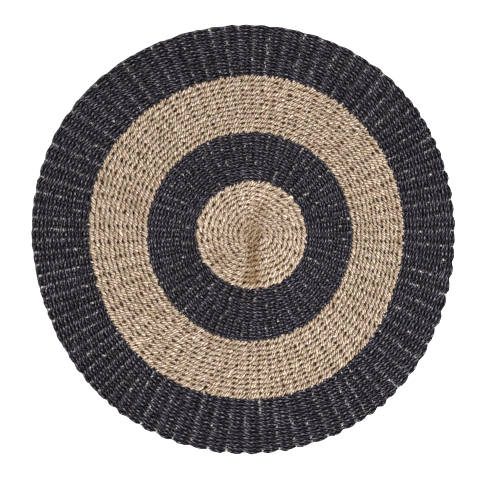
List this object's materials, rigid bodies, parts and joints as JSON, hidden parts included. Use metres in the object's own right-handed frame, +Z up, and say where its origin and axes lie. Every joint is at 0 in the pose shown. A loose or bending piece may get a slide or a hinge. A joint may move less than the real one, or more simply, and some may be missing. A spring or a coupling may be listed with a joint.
{
  "type": "round seagrass rug",
  "caption": "Round flat floor rug twined from thick seagrass cord, in wide rings of natural and dyed black, with raised ribs and a softly scalloped rim.",
  "frame": {"origin": "middle of the rug's outline, on its flat underside", "axes": "+Z up out of the rug's face; +X to the right and +Y away, seen from above as in use"},
  "size_m": [1.1968, 1.2138, 0.015],
  "materials": {
    "natural_seagrass": "dry twisted grass cord, slightly glossy on the crowns",
    "dyed_black_seagrass": "black dyed grass cord, faintly uneven in hue"
  },
  "bodies": {
    "root": {"woven_rug": "natural_seagrass"}
  },
  "joints": []
}
